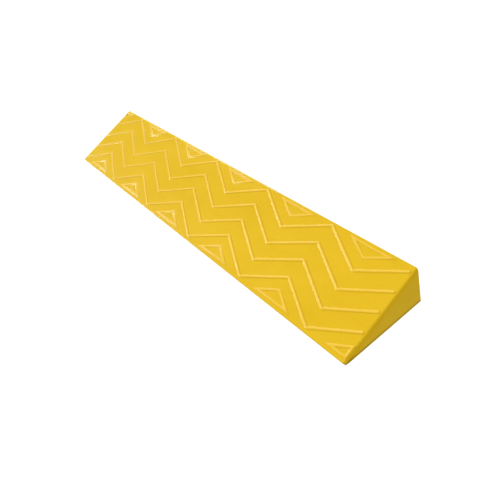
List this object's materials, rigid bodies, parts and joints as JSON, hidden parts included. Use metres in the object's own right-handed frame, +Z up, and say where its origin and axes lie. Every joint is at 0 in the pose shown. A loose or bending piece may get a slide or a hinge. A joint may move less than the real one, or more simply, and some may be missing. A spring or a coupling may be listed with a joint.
{
  "type": "wheel chock",
  "caption": "Long low wedge chock: a yellow moulding with a sloping zigzag-ribbed tread, a thin toe, drafted ends, a webbed hollow underside and push-in rubber feet.",
  "frame": {"origin": "on the ground, under the middle of the wedge's length and width", "axes": "+X along the wedge, with its back behind and its right end at +X; +Y from the thin toe to the tall back; +Z up"},
  "size_m": [1, 0.18, 0.0735],
  "materials": {
    "yellow_plastic": "satin moulded plastic with a fine grain",
    "black_rubber": "matt"
  },
  "bodies": {
    "root": {"wedge_shell": "yellow_plastic", "foot_front_1": "black_rubber", "foot_front_2": "black_rubber", "foot_front_3": "black_rubber", "foot_front_4": "black_rubber", "foot_front_5": "black_rubber", "foot_rear_1": "black_rubber", "foot_rear_2": "black_rubber", "foot_rear_3": "black_rubber", "foot_rear_4": "black_rubber", "foot_rear_5": "black_rubber"}
  },
  "joints": []
}
